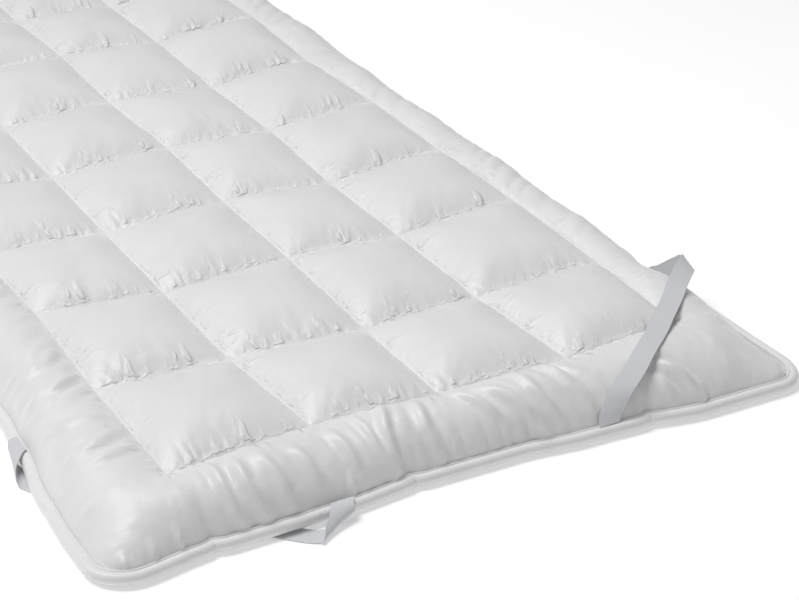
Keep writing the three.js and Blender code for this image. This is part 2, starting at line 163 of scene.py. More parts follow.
# Strap stations: x, y, z and direction of the width
UNDER_STRAP = np.array([
    (-168, -979.3, 15.8, 180), (-172, -987, 17.6, 181), (-177, -996, 16, 186),
    (-183, -1003.5, 12, 196), (-190.5, -1009, 7.3, 208), (-198, -1012, 3.4, 218),
    (-206, -1011.5, 1.3, 225), (-220, -1004, 0.8, 226), (-245, -979, 0.8, 226), (-322, -899, 0.8, 226),
    (-402, -816, 0.8, 226), (-429, -787, 0.8, 227), (-436.5, -773, 0.8, 231), (-442, -761, 0.9, 238),
    (-445.3, -750, 3, 247), (-447, -740.5, 7.4, 254), (-445.5, -730, 12.6, 260), (-440, -719, 16.6, 266),
    (-433, -711, 17.5, 269), (-425.5, -704.5, 15.9, 270),
], float)
# The stations where it reaches and leaves the floor
ON_FLOOR = (7, 13)
# Strap over its corner: x, y, height (none where it lies on the pad), direction and tilt of the width
ON_PAD = float("nan")
OVER_STRAP = np.array([
    (168, -984.5, 15.3, 180, 0), (171, -980, 21.5, 176, 0), (180, -974, ON_PAD, 165, 0),
    (195, -966, ON_PAD, 150, 0), (221, -952, ON_PAD, 140, 0), (251, -930, ON_PAD, 134, 0),
    (286, -900, ON_PAD, 132, 0), (323, -864, ON_PAD, 130, 0), (360, -828, ON_PAD, 129, 2),
    (392, -797, ON_PAD, 126, 8), (416, -774, 60.5, 116, 20), (434, -755.5, 55.5, 101, 30),
    (436.5, -752.5, 53.5, 98, 31), (436.5, -750.5, 51.5, 97, 31), (434.5, -747, 50, 96, 30),
    (431, -731, 38, 94, 20), (428.5, -715, 25, 92, 8), (427, -704, 18, 91, 1),
    (426, -699, 15.8, 90, 0),
], float)
# How high its stations and its curve lie on the pad, where it leaves the pad, and its sewn start
STATION_CLEARANCE = 2
STRAP_CLEARANCE = 0.8
LEAVES_PAD_AT = 415
SEWN_POINTS = 5
# Rays down to the pad over a strap's width, and the height in metres where they start
STRAP_RAYS = 9
RAY_START = 0.2

# Drawn folds of the border: points of each ridge on the plan, half width and height
DRAG_FOLDS = [
    ([(-290, -911), (-292, -947), (-287, -969), (-281, -980)], 6, 7),
    ([(-267, -920), (-267, -953), (-258, -975), (-255, -980)], 7, 8),
    ([(-240, -925), (-231, -952), (-226, -972)], 6, 5),
    ([(-202, -920), (-191, -951), (-183, -970)], 7, 6),
    ([(-150, -912), (-142, -945), (-138, -966)], 7, 6),
    ([(-114, -896), (-107, -945), (-101, -968)], 5, 5),
    ([(-75, -890), (-92, -935), (-96, -966)], 6, 7.5),
    ([(-39, -896), (-46, -945), (-41, -964)], 7, 6),
    ([(10, -900), (34, -939), (48, -958)], 6, 6),
    ([(45, -905), (75, -951), (96, -974)], 7, 7.5),
    ([(88, -900), (100, -945), (110, -972)], 6, 6),
    ([(125, -896), (142, -942), (154, -965)], 7, 6),
    ([(250, -944), (267, -960), (280, -975), (290, -989)], 6, 9),
    ([(247, -950), (251, -968), (256, -986)], 6, 4),
    ([(-386, -978), (-385, -990)], 4, 3),
    ([(-355, -972), (-354, -985)], 4, 3),
    ([(-419, -978), (-415, -991)], 4, 3),
    ([(294, -978), (294, -992)], 4, 2.5),
    ([(43, -960), (45, -972)], 4, 2.5),
    ([(-150, -966), (-153, -978)], 4, 2.5),
    ([(-345, -800), (-370, -813), (-398, -822), (-418, -818)], 6, 4.5),
    ([(-343, -762), (-366, -764), (-390, -760), (-408, -745)], 6, 4.5),
    ([(-343, -832), (-362, -840), (-382, -844), (-406, -840)], 6, 4.5),
    ([(-336, -595), (-364, -623), (-388, -628)], 7, 4.5),
    ([(-339, -649), (-372, -674), (-400, -679)], 7, 4.5),
]
# Places where the front edge is nipped in: place along it, half width and depth
FRONT_NIPS = [(-319, 8, 5), (-78, 7, 4), (221, 7, 4)]
# Places where the cloth is pulled in: x, y, radius and depth
DENTS = [
    (250, -949, 12, 8), (415, -726, 36, 13), (408, -795, 50, 3), (408, -880, 55, 8),
    (402, -950, 45, 8),
]
# The valleys beside a drawn fold: depth, place and width as shares of the fold
VALLEY_DEPTH = 0.35
VALLEY_AT = 1.7
VALLEY_WIDTH = 0.8
# The lip of the piping's cover: across and up from the cord's middle, in place of three points
PIPING_LIP = [
    (-4.0, 5.6, 0), (-4.6, 6.6, 0), (-5.5, 6.9, 0), (-6.5, 6.5, 0), (-6.9, 5.4, 0), (-6.9, 4.2, 0),
]

# The studio, in metres and degrees
KEY_PLACE = (-1.5, 1.4, 5.4)
KEY_AIM = (0, -1.1, 0)
CAMERA_PLACE = (-1.0666, -2.7444, 1.2808)
CAMERA_TILT = 62.603
CAMERA_TURN = -28.738
CAMERA_LENS = 99.454


class ProtectorSettings(bpy.types.PropertyGroup):
    """Sizes and colours of the mattress protector."""

    pocket_crown: FloatProperty(
        name="Pocket crown", description="Height of a pocket over its seams",
        default=0.020, min=0.005, max=0.06, unit="LENGTH",
    )
    border_crest: FloatProperty(
        name="Border crest", description="Height of the border channel over the floor",
        default=0.061, min=0.03, max=0.09, unit="LENGTH",
    )
    gather: FloatProperty(
        name="Gathering", description="Share by which the cloth beside a seam is longer than the seam",
        default=0.2, min=0.0, max=0.4, subtype="FACTOR",
    )
    pucker_height: FloatProperty(
        name="Pucker height", description="Height of the puckers beside the row seams",
        default=0.0036, min=0.0, max=0.006, unit="LENGTH",
    )
    swell_frames: IntProperty(
        name="Swelling steps", description="Steps for which the filling swells the cloth",
        default=22, min=2, max=60,
    )
    strap_thickness: FloatProperty(
        name="Strap thickness", description="Thickness of the flat woven elastic",
        default=0.0012, min=0.0005, max=0.003, unit="LENGTH",
    )
    strap_width: FloatProperty(
        name="Strap width", description="Width of the flat woven elastic",
        default=0.025, min=0.01, max=0.05, unit="LENGTH",
    )
    satin_colour: FloatVectorProperty(
        name="Satin", description="Colour of the pad's satin cotton",
        default=(0.86, 0.86, 0.863), size=3, min=0, max=1, subtype="COLOR",
    )
    piping_colour: FloatVectorProperty(
        name="Piping", description="Colour of the bias strip over the cord",
        default=(0.87, 0.868, 0.865), size=3, min=0, max=1, subtype="COLOR",
    )
    elastic_colour: FloatVectorProperty(
        name="Elastic", description="Colour of the corner straps",
        default=(0.70, 0.71, 0.74), size=3, min=0, max=1, subtype="COLOR",
    )


# Plan and heights of the pad

def smooth_step(low, high, value):
    t = np.clip((value - low) / (high - low), 0, 1)
    return t * t * (3 - 2 * t)


def draw_in(edge, at):
    """Smooth step between the rows of an edge table."""
    k = np.clip(np.searchsorted(edge[:, 0], at) - 1, 0, len(edge) - 2)
    t = smooth_step(edge[k, 0], edge[k + 1, 0], at)
    return edge[k, 1] + (edge[k + 1, 1] - edge[k, 1]) * t


def seam_place(a, b):
    i = np.clip(np.floor(a), 0, COLUMNS - 1).astype(int)
    j = np.clip(np.floor(b), 0, ROWS - 1).astype(int)
    u, v = a - i, b - j
    column = COLUMN_SEAMS[i] * (1 - u)[..., None] + COLUMN_SEAMS[i + 1] * u[..., None]
    row = ROW_SEAMS[j] * (1 - v)[..., None] + ROW_SEAMS[j + 1] * v[..., None]
    u, v = u[..., None], v[..., None]
    near = CROSSING_SHIFTS[j, i] * (1 - u) + CROSSING_SHIFTS[j, i + 1] * u
    far = CROSSING_SHIFTS[j + 1, i] * (1 - u) + CROSSING_SHIFTS[j + 1, i + 1] * u
    shift = near * (1 - v) + far * v
    x = (a - COLUMNS / 2) * COLUMN_PITCH + column[..., 0] + shift[..., 0]
    y = (b - ROWS / 2) * ROW_PITCH + column[..., 1] + row[..., 0] + shift[..., 1]
    return x, y, SEAM_HEIGHT + column[..., 2] + row[..., 1]


def pad_place(a, b):
    """Plan place, seam height, and how far into the border: p sideways, q lengthwise."""
    x, y, seam = seam_place(np.clip(a, 0, COLUMNS), np.clip(b, 0, ROWS))
    side_a = np.where(a < 0, -1, 1)
    side_b = np.where(b < 0, -1, 1)
    p = np.maximum(np.maximum(-a, a - COLUMNS), 0)
    q = np.maximum(np.maximum(-b, b - ROWS), 0)
    nominal_x = x + side_a * p * (CORNER_HALF_WIDTH - RIM_INSET - np.abs(x))
    nominal_y = y + side_b * q * (CORNER_HALF_LENGTH - RIM_INSET - np.abs(y))
    side_in = np.where(side_a < 0, draw_in(LEFT_EDGE, nominal_y), draw_in(RIGHT_EDGE, nominal_y))
    end_in = np.where(side_b < 0, draw_in(FRONT_EDGE, nominal_x), draw_in(BACK_EDGE, nominal_x))
    for place, half, depth in FRONT_NIPS:
        end_in = end_in + np.where(side_b < 0, depth * np.exp(-((nominal_x - place) / half) ** 2), 0)
    span_x = CORNER_HALF_WIDTH - RIM_INSET - side_in - np.abs(x)
    span_y = CORNER_HALF_LENGTH - RIM_INSET - end_in - np.abs(y)
    start = 1 - (CORNER_RADIUS - RIM_INSET) / np.minimum(span_x, span_y)
    s = (p - start) / (1 - start)
    t = (q - start) / (1 - start)
    corner = (s > 0) & (t > 0)
    s, t = np.where(corner, s, 0), np.where(corner, t, 0)
    round_p = np.where(corner, start + (1 - start) * s * np.sqrt(1 - t * t / 2), p)
    round_q = np.where(corner, start + (1 - start) * t * np.sqrt(1 - s * s / 2), q)
    return x + side_a * round_p * span_x, y + side_b * round_q * span_y, seam, p, q


def bulge(outward, shape):
    """A round rise: 1 where outward is 0, and 0 where it is 1."""
    return (1 - outward ** shape[0]) ** shape[1]


def pocket_rise(t):
    from_seam = np.clip(np.minimum(t, 1 - t) / FLAT_START, 0, 1)
    return bulge(1 - from_seam, POCKET_ROUND)


def rim_fall(outward):
    """1 from the seam to the border's crest, falling to 0 at its rim."""
    return bulge(np.clip((outward - CREST_AT) / (1 - CREST_AT), 0, 1), RIM_ROUND)


def border_top(p, q, seam, crest):
    inner = np.clip(np.hypot(p, q) / CREST_AT, 0, 1)
    ridge = seam + (crest - seam) * bulge(1 - inner, CREST_ROUND)
    lowered = 1 - CORNER_DROP * smooth_step(*CORNER_DROP_SPAN, np.sqrt(p * q))
    return RIM_TOP + (ridge - RIM_TOP) * rim_fall(p) * rim_fall(q) * lowered


def border_bottom(outward, seam):
    inner = np.clip(outward / CREST_AT, 0, 1)
    outer = np.clip((outward - RIM_RISE_START) / RIM_RISE_SPAN, 0, 1)
    rising = (seam - SEAM_THICKNESS) * (1 - bulge(1 - inner, UNDERSIDE_ROUND))
    return np.where(outward <= CREST_AT, rising, RIM_BOTTOM * outer * outer)


def strap_lift(x, y):
    """The underside stands off the floor over the straps that pass under a corner."""
    start, end = UNDER_STRAP[ON_FLOOR[0], :2], UNDER_STRAP[ON_FLOOR[1], :2]
    run = (end - start) / np.hypot(*(end - start))
    across = run[0] * (-np.abs(y) - start[1]) - run[1] * (-np.abs(x) - start[0])
    lift = UNDER_STRAP_LIFT * np.clip((LIFT_REACH - np.abs(across)) / LIFT_FADE, 0, 1)
    return np.where((x > 0) & (y < 0), 0, lift)


def pad_heights(a, b, crown, crest):
    x, y, seam, p, q = pad_place(a, b)
    outward = np.maximum(p, q)
    along = np.where(p > q, b, a)
    away_from_corner = 1 - smooth_step(0, 0.3, np.sqrt(p * q))
    swell = BORDER_SWELL * (1 - 2 * np.abs(np.cos(np.pi * along))) * away_from_corner
    rise = pocket_rise(a - np.floor(a)) * pocket_rise(b - np.floor(b))
    in_border = outward > 0
    top = np.where(in_border, border_top(p, q, seam, crest + swell), seam + crown * rise)
    bottom = np.where(in_border, border_bottom(outward, seam), (seam - SEAM_THICKNESS) * (1 - rise))
    return x, y, top, np.maximum(bottom, strap_lift(x, y))


def even_lines(profile, span, count, ends):
    """Places from 0 to 1 at even steps over the profile, drawn closer together near the ends."""
    t = np.linspace(0, 1, PROFILE_SAMPLES)
    run = np.r_[0, np.cumsum(np.hypot(np.diff(t) * span, np.diff(profile(t))))]
    run /= run[-1]
    step = np.linspace(0, 1, count + 1)
    step = step - ends * np.sin(2 * np.pi * step) / (2 * np.pi)
    return np.interp(step, run, t)


def grid_lines(count, pocket, border):
    pockets = [k + pocket[:-1] for k in range(count)]
    return np.concatenate([-border[:0:-1], *pockets, [count], count + border[1:]])


def pad_lines(crown, crest):
    """The grid's lines across and along the pad, at even steps over its pockets and border."""
    pockets = [
        even_lines(lambda t: crown * pocket_rise(t), pitch, cells, 0.3)
        for pitch, cells in zip((COLUMN_PITCH, ROW_PITCH), POCKET_CELLS)
    ]
    border = even_lines(
        lambda t: border_top(t, 0 * t, SEAM_HEIGHT, crest), BORDER_WIDTH, BORDER_CELLS, 0.2
    )
    return grid_lines(COLUMNS, pockets[0], border), grid_lines(ROWS, pockets[1], border)


def wander(x, y, size, seed):
    """Smooth random field from -1 to 1, with a grain of the given size."""
    gx, gy = x / size, y / size
    ix, iy = np.floor(gx), np.floor(gy)
    fx, fy = gx - ix, gy - iy
    fx, fy = fx * fx * (3 - 2 * fx), fy * fy * (3 - 2 * fy)

    def corner(cx, cy):
        turn = (ix + cx) * SCATTER[0] + (iy + cy) * SCATTER[1] + seed * SCATTER[2]
        value = np.sin(turn) * SCATTER[3]
        return 2 * (value - np.floor(value)) - 1

    low = corner(0, 0) * (1 - fx) + corner(1, 0) * fx
    high = corner(0, 1) * (1 - fx) + corner(1, 1) * fx
    return low * (1 - fy) + high * fy


# Cloth

def new_object(name, mesh):
    thing = bpy.data.objects.new(name, mesh)
    bpy.context.scene.collection.objects.link(thing)
    return thing


def deselect():
    bpy.ops.object.select_all(action="DESELECT")


def only(thing):
    deselect()
    thing.select_set(True)
    bpy.context.view_layer.objects.active = thing


def grid_quads(index):
    """The quads of a grid of point numbers, facing up."""
    return np.stack([index[:-1, :-1], index[1:, :-1], index[1:, 1:], index[:-1, 1:]], -1)


def weight_group(thing, name, weights):
    group = thing.vertex_groups.new(name=name)
    rounded = np.round(weights, 2)
    for value in np.unique(rounded):
        group.add(np.nonzero(rounded == value)[0].tolist(), float(value), "REPLACE")


def swell_cloth(places, held, slack, settings):
    """Lets the filling swell a sheet that is held at its seams. Returns the moved places, in mm."""
    index = np.arange(places.shape[0] * places.shape[1]).reshape(places.shape[:2])
    mesh = bpy.data.meshes.new("swelling_cloth")
    mesh.from_pydata((places.reshape(-1, 3) * MM).tolist(), [], grid_quads(index).reshape(-1, 4).tolist())
    sheet = new_object("swelling_cloth", mesh)
    weight_group(sheet, "held", held.ravel().astype(float))
    weight_group(sheet, "slack", slack.ravel())
    only(sheet)
    bpy.ops.object.modifier_add(type="CLOTH")
    cloth = sheet.modifiers[-1]
    for name, value in CLOTH_VALUES.items():
        setattr(cloth.settings, name, value)
    cloth.settings.shrink_max = -settings.gather
    cloth.settings.effector_weights.gravity = 0
    cloth.point_cache.frame_start = 1
    cloth.point_cache.frame_end = settings.swell_frames
    scene = bpy.context.scene
    for step in range(1, settings.swell_frames + 1):
        scene.frame_set(step)
    bpy.ops.object.modifier_apply(modifier=cloth.name)
    moved = np.empty(len(mesh.vertices) * 3)
    mesh.vertices.foreach_get("co", moved)
    scene.frame_set(1)
    bpy.data.objects.remove(sheet)
    bpy.data.meshes.remove(mesh)
    return moved.reshape(places.shape) / MM


def twice_as_fine(field, axis):
    """Puts a value between each two, on a smooth curve through the four nearest."""
    field = np.moveaxis(field, axis, 0)
    before = np.concatenate([field[:1], field[:-2]])
    after = np.concatenate([field[2:], field[-1:]])
    middle = (9 * (field[:-1] + field[1:]) - before - after) / 16
    fine = np.empty((2 * len(field) - 1, *field.shape[1:]))
    fine[::2] = field
    fine[1::2] = middle
    return np.moveaxis(fine, 0, axis)


def filled(places, sewn, seam_gap, outward, settings):
    """Swells the cloth on every second line and spreads the movement over all the lines."""
    x, y = places[..., 0], places[..., 1]
    slack = np.clip(1 - seam_gap / SLACK_REACH, 0, 1) * (1 + 0.5 * wander(x, y, 45, 1))
    slack = np.where(outward > 0.7, BORDER_SLACK, np.clip(slack, 0, 1))
    wrinkles = np.stack([0 * x, 0 * x, FIRST_WRINKLES * wander(x, y, 9, 2)], -1)[::2, ::2]
    start = places[::2, ::2] + wrinkles * ~sewn[::2, ::2, None]
    moved = swell_cloth(start, sewn[::2, ::2], slack[::2, ::2], settings) - places[::2, ::2]
    size = np.linalg.norm(moved, axis=-1, keepdims=True)
    moved *= np.minimum(1, MOST_SWELL / np.maximum(size, 1e-9))
    return places + twice_as_fine(twice_as_fine(moved, 0), 1)


def surface_normals(places):
    across = np.gradient(places, axis=0)
    along = np.gradient(places, axis=1)
    normal = np.cross(across, along)
    return normal / np.maximum(np.linalg.norm(normal, axis=-1, keepdims=True), 1e-9)


def gathered_ridges(along, spacing, loose, seed):
    """Round ridges with sharp valleys between them, unevenly spaced. From about -0.5 to 0.5."""
    shift = wander(along, 0 * along + 17 * seed, 2.3 * spacing, seed)
    shift = shift + 0.5 * wander(along, 0 * along + 29 * seed, 1.2 * spacing, seed + 60)
    return np.abs(np.cos(np.pi * (along / spacing + loose * shift))) ** 0.8 - 0.55


def double_ridges(along, spacing, small_along, small_spacing, share, seed):
    """Ridges with a share of smaller ones among them."""
    small = gathered_ridges(small_along, small_spacing, LOOSE, seed + 1)
    return gathered_ridges(along, spacing, LOOSE, seed) + share * small


def seam_puckers(a, b, x, y, height):
    """Puckers of the pockets, square to their seams, in mm."""
    inside = (a >= 0) & (a <= COLUMNS) & (b >= 0) & (b <= ROWS)
    row, column = np.rint(b), np.rint(a)
    from_row = np.abs(b - row) * ROW_PITCH
    from_column = np.abs(a - column) * COLUMN_PITCH
    side = np.where(b > row, 1.0, -1.0)
    seam = x + ROW_SHIFT * row + 211 * side
    reach = 12 + 9 * np.clip(wander(seam, 0 * x, 19, 3) + 0.4 * wander(x, y, 60, 4), -0.8, 1)
    strong = 0.75 + 0.8 * wander(seam + 400, 0 * x, 47, 5) + 0.5 * wander(seam, 0 * x, 17, 6)
    lean = side * from_row * (0.25 + 0.35 * wander(x, y, 90, 7))
    rows = double_ridges(seam + lean, 15.5, seam + 1.4 * lean, 9.5, 0.45, 11)
    fade = smooth_step(0, 6, from_row) * np.exp(-(from_row / reach) ** 1.6)
    total = height * np.clip(strong, 0.1, 1.7) * rows * fade * smooth_step(1, 16, from_column)
    side = np.where(a > column, 1.0, -1.0)
    seam = y + COLUMN_SHIFT * column + 301 * side
    strong = 0.6 + 0.9 * wander(seam, 0 * x, 52, 15) + 0.4 * wander(seam, 0 * x, 19, 16)
    lean = side * from_column * (0.5 + 0.4 * wander(x, y, 70, 9))
    columns = double_ridges(seam + lean, 12.5, seam + 1.3 * lean, 8, 0.5, 13)
    fade = smooth_step(0, 6, from_column) * np.exp(-(from_column / 13) ** 1.6)
    share = np.where(side > 0, 0.5, 0.25)
    strong = np.clip(strong, 0.05, 1.5)
    total = total + share * height * strong * columns * fade * smooth_step(1, 16, from_row)
    return np.where(inside, total, 0)


def border_folds(a, b, x, y, p, q, height):
    """Puckers and drag folds of the border channel, in mm."""
    outward = np.maximum(p, q)
    on_side = p > q
    along = np.where(on_side, y, x)
    sign = np.where(on_side, 1, -1) * np.where(np.where(on_side, a, b) < 0, 1, -1)
    straight = 1 - smooth_step(0.04, 0.3, np.minimum(p, q))
    outer, small = along + 30 * sign * outward, along + 36 * sign * outward
    beside_seam = double_ridges(outer, 16, small, 9, 0.45, 21)
    strong = np.clip(0.65 + 0.8 * wander(x, y, 50, 23), 0.1, 1.5)
    fade = smooth_step(0, 0.025, outward) * np.exp(-(outward / 0.15) ** 1.6)
    total = 0.8 * height * strong * beside_seam * fade * straight
    drag = gathered_ridges(along + 62 * sign * outward, 38, 0.6, 25)
    strong = smooth_step(-0.15, 0.8, wander(x, y, 120, 27)) * np.where(on_side & (a > 0), 0.5, 1)
    fade = smooth_step(0.02, 0.2, outward) * (1 - smooth_step(0.5, 0.92, outward))
    total = total + 1.9 * height * strong * drag * fade * straight
    by_rim = gathered_ridges(along + 14 * sign * outward, 21, 0.7, 29)
    strong = np.clip(0.4 + 0.9 * wander(x, y, 75, 31), 0.0, 1.3)
    fade = smooth_step(0.62, 0.88, outward) * (1 - smooth_step(0.965, 1, outward))
    total = total + 0.95 * height * strong * by_rim * fade * straight
    return np.where(outward > 0, total, 0)


def fold_ridges(x, y):
    """The folds that are drawn one by one, in mm."""
    total = np.zeros_like(x)
    for points, width, height in DRAG_FOLDS:
        run = np.array(points, float)
        low, high = run.min(0) - 3 * width, run.max(0) + 3 * width
        near = (x > low[0]) & (x < high[0]) & (y > low[1]) & (y < high[1])
        px, py = x[near], y[near]
        best = np.full(px.shape, 1e9)
        place = np.zeros(px.shape)
        lengths = np.r_[0, np.cumsum(np.hypot(*np.diff(run, axis=0).T))]
        for k in range(len(run) - 1):
            step = run[k + 1] - run[k]
            t = np.clip(((px - run[k, 0]) * step[0] + (py - run[k, 1]) * step[1]) / (step @ step), 0, 1)
            gap = np.hypot(px - run[k, 0] - t * step[0], py - run[k, 1] - t * step[1])
            at = (lengths[k] + t * (lengths[k + 1] - lengths[k])) / lengths[-1]
            place = np.where(gap < best, at, place)
            best = np.where(gap < best, gap, best)
        taper = np.sin(np.pi * np.clip(place, 0.04, 0.96)) ** 0.6
        across = best / width
        valleys = VALLEY_DEPTH * np.exp(-((across - VALLEY_AT) / VALLEY_WIDTH) ** 2)
        total[near] += height * taper * (np.exp(-across ** 2) - valleys)
    for middle_x, middle_y, radius, depth in DENTS:
        total -= depth * np.exp(-((x - middle_x) ** 2 + (y - middle_y) ** 2) / radius ** 2)
    return total


def seam_marks(a, b, x, y, p, q):
    """What the satin reads at each point, with its value on the underside: how far the nearest seam
    and the rim are, the place along that seam, its side and how clearly it is the nearest."""
    inside = (p <= 0) & (q <= 0)
    row, column = np.clip(np.rint(b), 0, ROWS), np.clip(np.rint(a), 0, COLUMNS)
    row_gap = np.abs(b - row) * ROW_PITCH
    column_gap = np.abs(a - column) * COLUMN_PITCH
    gap = np.where(inside, np.minimum(row_gap, column_gap), np.hypot(p, q) * BORDER_WIDTH)
    by_row = np.where(inside, row_gap < column_gap, q > p)
    run = np.where(by_row, x + ROW_SHIFT * row, y + COLUMN_SHIFT * column)
    side = np.sign(np.where(by_row, b - row, a - column))
    parted = np.where(inside, np.abs(row_gap - column_gap), np.abs(p - q) * BORDER_WIDTH)
    share = np.where(by_row, 1, np.where(inside & (side <= 0), 0.15, 0.6))
    rim_gap = np.where(inside, FAR, (1 - np.maximum(p, q)) * BORDER_WIDTH)
    return {
        "seam_gap": (gap * MM, FAR * MM),
        "seam_run": (run * MM, FAR * MM),
        "rim_gap": (rim_gap * MM, FAR * MM),
        "seam_side": (side * smooth_step(0, 4, gap), 0.0),
        "seam_part": (smooth_step(4, 13, parted) * share, 0.0),
    }, gap


def closed_piece(name, top, bottom, wanted):
    """Joins the wanted cells of the top and underside by walls. wanted is by underside cell."""
    step = UNDERSIDE_STEP
    index = np.arange(top.shape[0] * top.shape[1]).reshape(top.shape[:2])
    under = index.size + np.arange(bottom.shape[0] * bottom.shape[1]).reshape(bottom.shape[:2])
    fine = np.repeat(np.repeat(wanted, step, 0), step, 1)
    above = grid_quads(index)[fine]
    below = grid_quads(under)[wanted][:, [0, 3, 2, 1]]
    faces = above.tolist() + below.tolist()
    padded = np.pad(wanted, 1)
    sides = [
        ((0, 0), (1, 0), (0, -1)), ((1, 0), (1, 1), (1, 0)),
        ((1, 1), (0, 1), (0, 1)), ((0, 1), (0, 0), (-1, 0)),
    ]
    for i, j in np.argwhere(wanted):
        for start, end, out in sides:
            if padded[i + 1 + out[0], j + 1 + out[1]]:
                continue
            si, sj, ei, ej = i + start[0], j + start[1], i + end[0], j + end[1]
            edge = [
                index[step * si + (ei - si) * k, step * sj + (ej - sj) * k] for k in range(step, -1, -1)
            ]
            faces.append([under[si, sj], under[ei, ej], *edge])
    places = np.concatenate([top.reshape(-1, 3), bottom.reshape(-1, 3)]) * MM
    used = np.zeros(len(places), bool)
    used[np.concatenate([above.ravel(), below.ravel()])] = True
    new = np.cumsum(used) - 1
    mesh = bpy.data.meshes.new(name)
    mesh.from_pydata(places[used].tolist(), [], [new[face].tolist() for face in faces])
    return new_object(name, mesh), used


def smooth_shading(thing, degrees):
    only(thing)
    bpy.ops.object.shade_smooth_by_angle(angle=math.radians(degrees), keep_sharp_edges=False)


def point_values(thing, name, values):
    layer = thing.data.attributes.new(name, "FLOAT", "POINT")
    layer.data.foreach_set("value", values.astype(np.float32))


def dress(thing, material, slot, *nodes):
    thing.data.materials.clear()
    thing.data.materials.append(material)
    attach(thing, "root")
    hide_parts(*nodes)


# Materials

class Nodes:
    """Adds nodes to a tree and joins them."""

    def __init__(self, tree):
        self.tree = tree

    def add(self, kind, **values):
        node = self.tree.nodes.new(kind)
        for name, value in values.items():
            if name.startswith("in_"):
                key = name[3:]
                key = int(key) if key.isdigit() else key.replace("_", " ")
                if isinstance(value, bpy.types.NodeSocket):
                    self.tree.links.new(value, node.inputs[key])
                else:
                    node.inputs[key].default_value = value
            else:
                setattr(node, name, value)
        return node

    def math(self, operation, *values):
        inputs = {f"in_{k}": value for k, value in enumerate(values)}
        return self.add("ShaderNodeMath", operation=operation, **inputs).outputs[0]

    def change(self, value, low, high, start, end, kind="LINEAR"):
        """Start where the value is low, end where it is high."""
        node = self.add("ShaderNodeMapRange", interpolation_type=kind, in_0=value, in_1=low, in_2=high,
                        in_3=start, in_4=end)
        return node.outputs[0]

    def combined(self, operation, first, *others):
        for value in others:
            first = self.math(operation, first, value)
        return first

    def product(self, *values):
        return self.combined("MULTIPLY", *values)

    def total(self, *values):
        return self.combined("ADD", *values)

    def mark(self, name):
        return self.add("ShaderNodeAttribute", attribute_name=name).outputs["Fac"]

    def noise(self, place, **values):
        return self.add("ShaderNodeTexNoise", in_0=place, **values).outputs[0]

    def ribs(self, value, width):
        """Round ribs of the given width across a value."""
        return self.math("ABSOLUTE", self.math("SINE", self.product(value, math.pi / width)))


def woven_group():
    """Cloth surface from a place: the height of crossing threads and of slubs, and a tone."""
    group = bpy.data.node_groups.get("woven threads")
    if group:
        return group
    group = bpy.data.node_groups.new("woven threads", "ShaderNodeTree")
    for name, way, kind in (
        ("Place", "INPUT", "Vector"), ("Threads per metre", "INPUT", "Float"),
        ("Height", "OUTPUT", "Float"), ("Tone", "OUTPUT", "Float"),
    ):
        group.interface.new_socket(name, in_out=way, socket_type="NodeSocket" + kind)
    nodes = Nodes(group)
    start = group.nodes.new("NodeGroupInput")
    end = group.nodes.new("NodeGroupOutput")
    place = start.outputs["Place"]
    turn = nodes.product(start.outputs["Threads per metre"], math.pi)
    scaled = nodes.add("ShaderNodeVectorMath", operation="SCALE", in_0=place)
    group.links.new(turn, scaled.inputs["Scale"])
    parts = nodes.add("ShaderNodeSeparateXYZ", in_0=scaled.outputs[0])
    warp = nodes.math("ABSOLUTE", nodes.math("SINE", parts.outputs[0]))
    weft = nodes.math("ABSOLUTE", nodes.math("SINE", parts.outputs[1]))
    weave = nodes.product(warp, nodes.total(nodes.product(weft, 0.35), 0.65))
    slub = nodes.noise(place, in_Scale=90.0, in_Detail=3.0, in_Roughness=0.55)
    cloud = nodes.noise(place, in_Scale=14.0, in_Detail=2.0)
    group.links.new(nodes.total(nodes.product(weave, 0.35), slub), end.inputs["Height"])
    group.links.new(cloud, end.inputs["Tone"])
    return group


def cloth_nodes(name, colour, roughness, threads, specular, sheen, coordinates="Object"):
    """A material with a woven surface, as its node helper, which keeps the parts that others join."""
    material = bpy.data.materials.new(name)
    material.use_nodes = True
    tree = material.node_tree
    tree.nodes.clear()
    nodes = Nodes(tree)
    out = nodes.add("ShaderNodeOutputMaterial")
    shader = nodes.add("ShaderNodeBsdfPrincipled")
    tree.links.new(shader.outputs[0], out.inputs[0])
    shader.inputs["Specular IOR Level"].default_value = specular
    shader.inputs["Sheen Weight"].default_value = sheen
    nodes.place = nodes.add("ShaderNodeTexCoord").outputs[coordinates]
    woven = nodes.add("ShaderNodeGroup", node_tree=woven_group())
    tree.links.new(nodes.place, woven.inputs["Place"])
    woven.inputs["Threads per metre"].default_value = threads
    tone = nodes.change(woven.outputs["Tone"], 0.3, 0.7, 0.975, 1.0)
    mix = nodes.add("ShaderNodeMix", data_type="RGBA", blend_type="MULTIPLY", in_0=1, in_6=(*colour, 1))
    tree.links.new(tone, mix.inputs[7])
    tree.links.new(mix.outputs[2], shader.inputs["Base Color"])
    rough = nodes.change(woven.outputs["Tone"], 0.3, 0.7, roughness - 0.04, roughness + 0.04)
    tree.links.new(rough, shader.inputs["Roughness"])
    nodes.material, nodes.shader = material, shader
    nodes.weave, nodes.colour = woven.outputs["Height"], mix.outputs[2]
    return nodes


def raised(nodes, height, strength):
    """Joins a height to the surface and returns the finished material."""
    bump = nodes.add("ShaderNodeBump", in_Strength=strength, in_Distance=1.0, in_Height=height)
    nodes.tree.links.new(bump.outputs[0], nodes.shader.inputs["Normal"])
    return nodes.material


